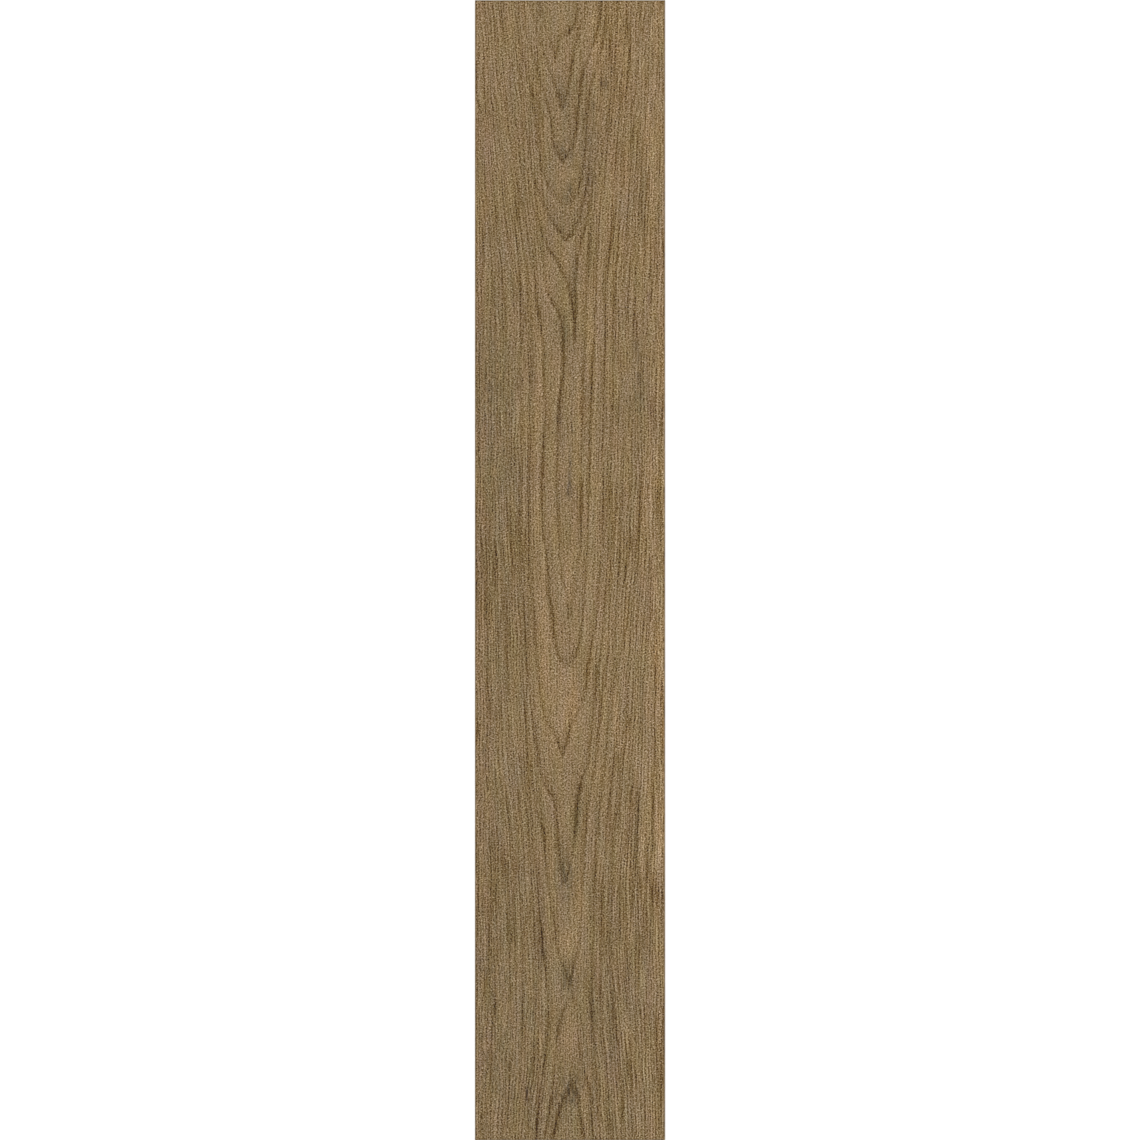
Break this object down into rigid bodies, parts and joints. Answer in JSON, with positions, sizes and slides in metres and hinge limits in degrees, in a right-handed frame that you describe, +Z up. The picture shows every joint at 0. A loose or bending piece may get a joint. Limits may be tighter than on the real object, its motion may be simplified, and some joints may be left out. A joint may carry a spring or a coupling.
{
  "type": "wood look porcelain plank tile",
  "caption": "Long rectangular porcelain plank with a matt oak-look face, ground edges, a fine arris and a ribbed keying back, laid in adhesive as floor or wall covering.",
  "frame": {"origin": "middle of the plan, on the plane of the back ribs and rim that the tile rests on", "axes": "+Z up out of the printed face, +Y along the length of the plank, +X across its width"},
  "size_m": [0.2, 1.2, 0.009],
  "materials": {
    "oak_print_porcelain": "matt"
  },
  "bodies": {
    "root": {"plank_tile": "oak_print_porcelain"}
  },
  "joints": []
}
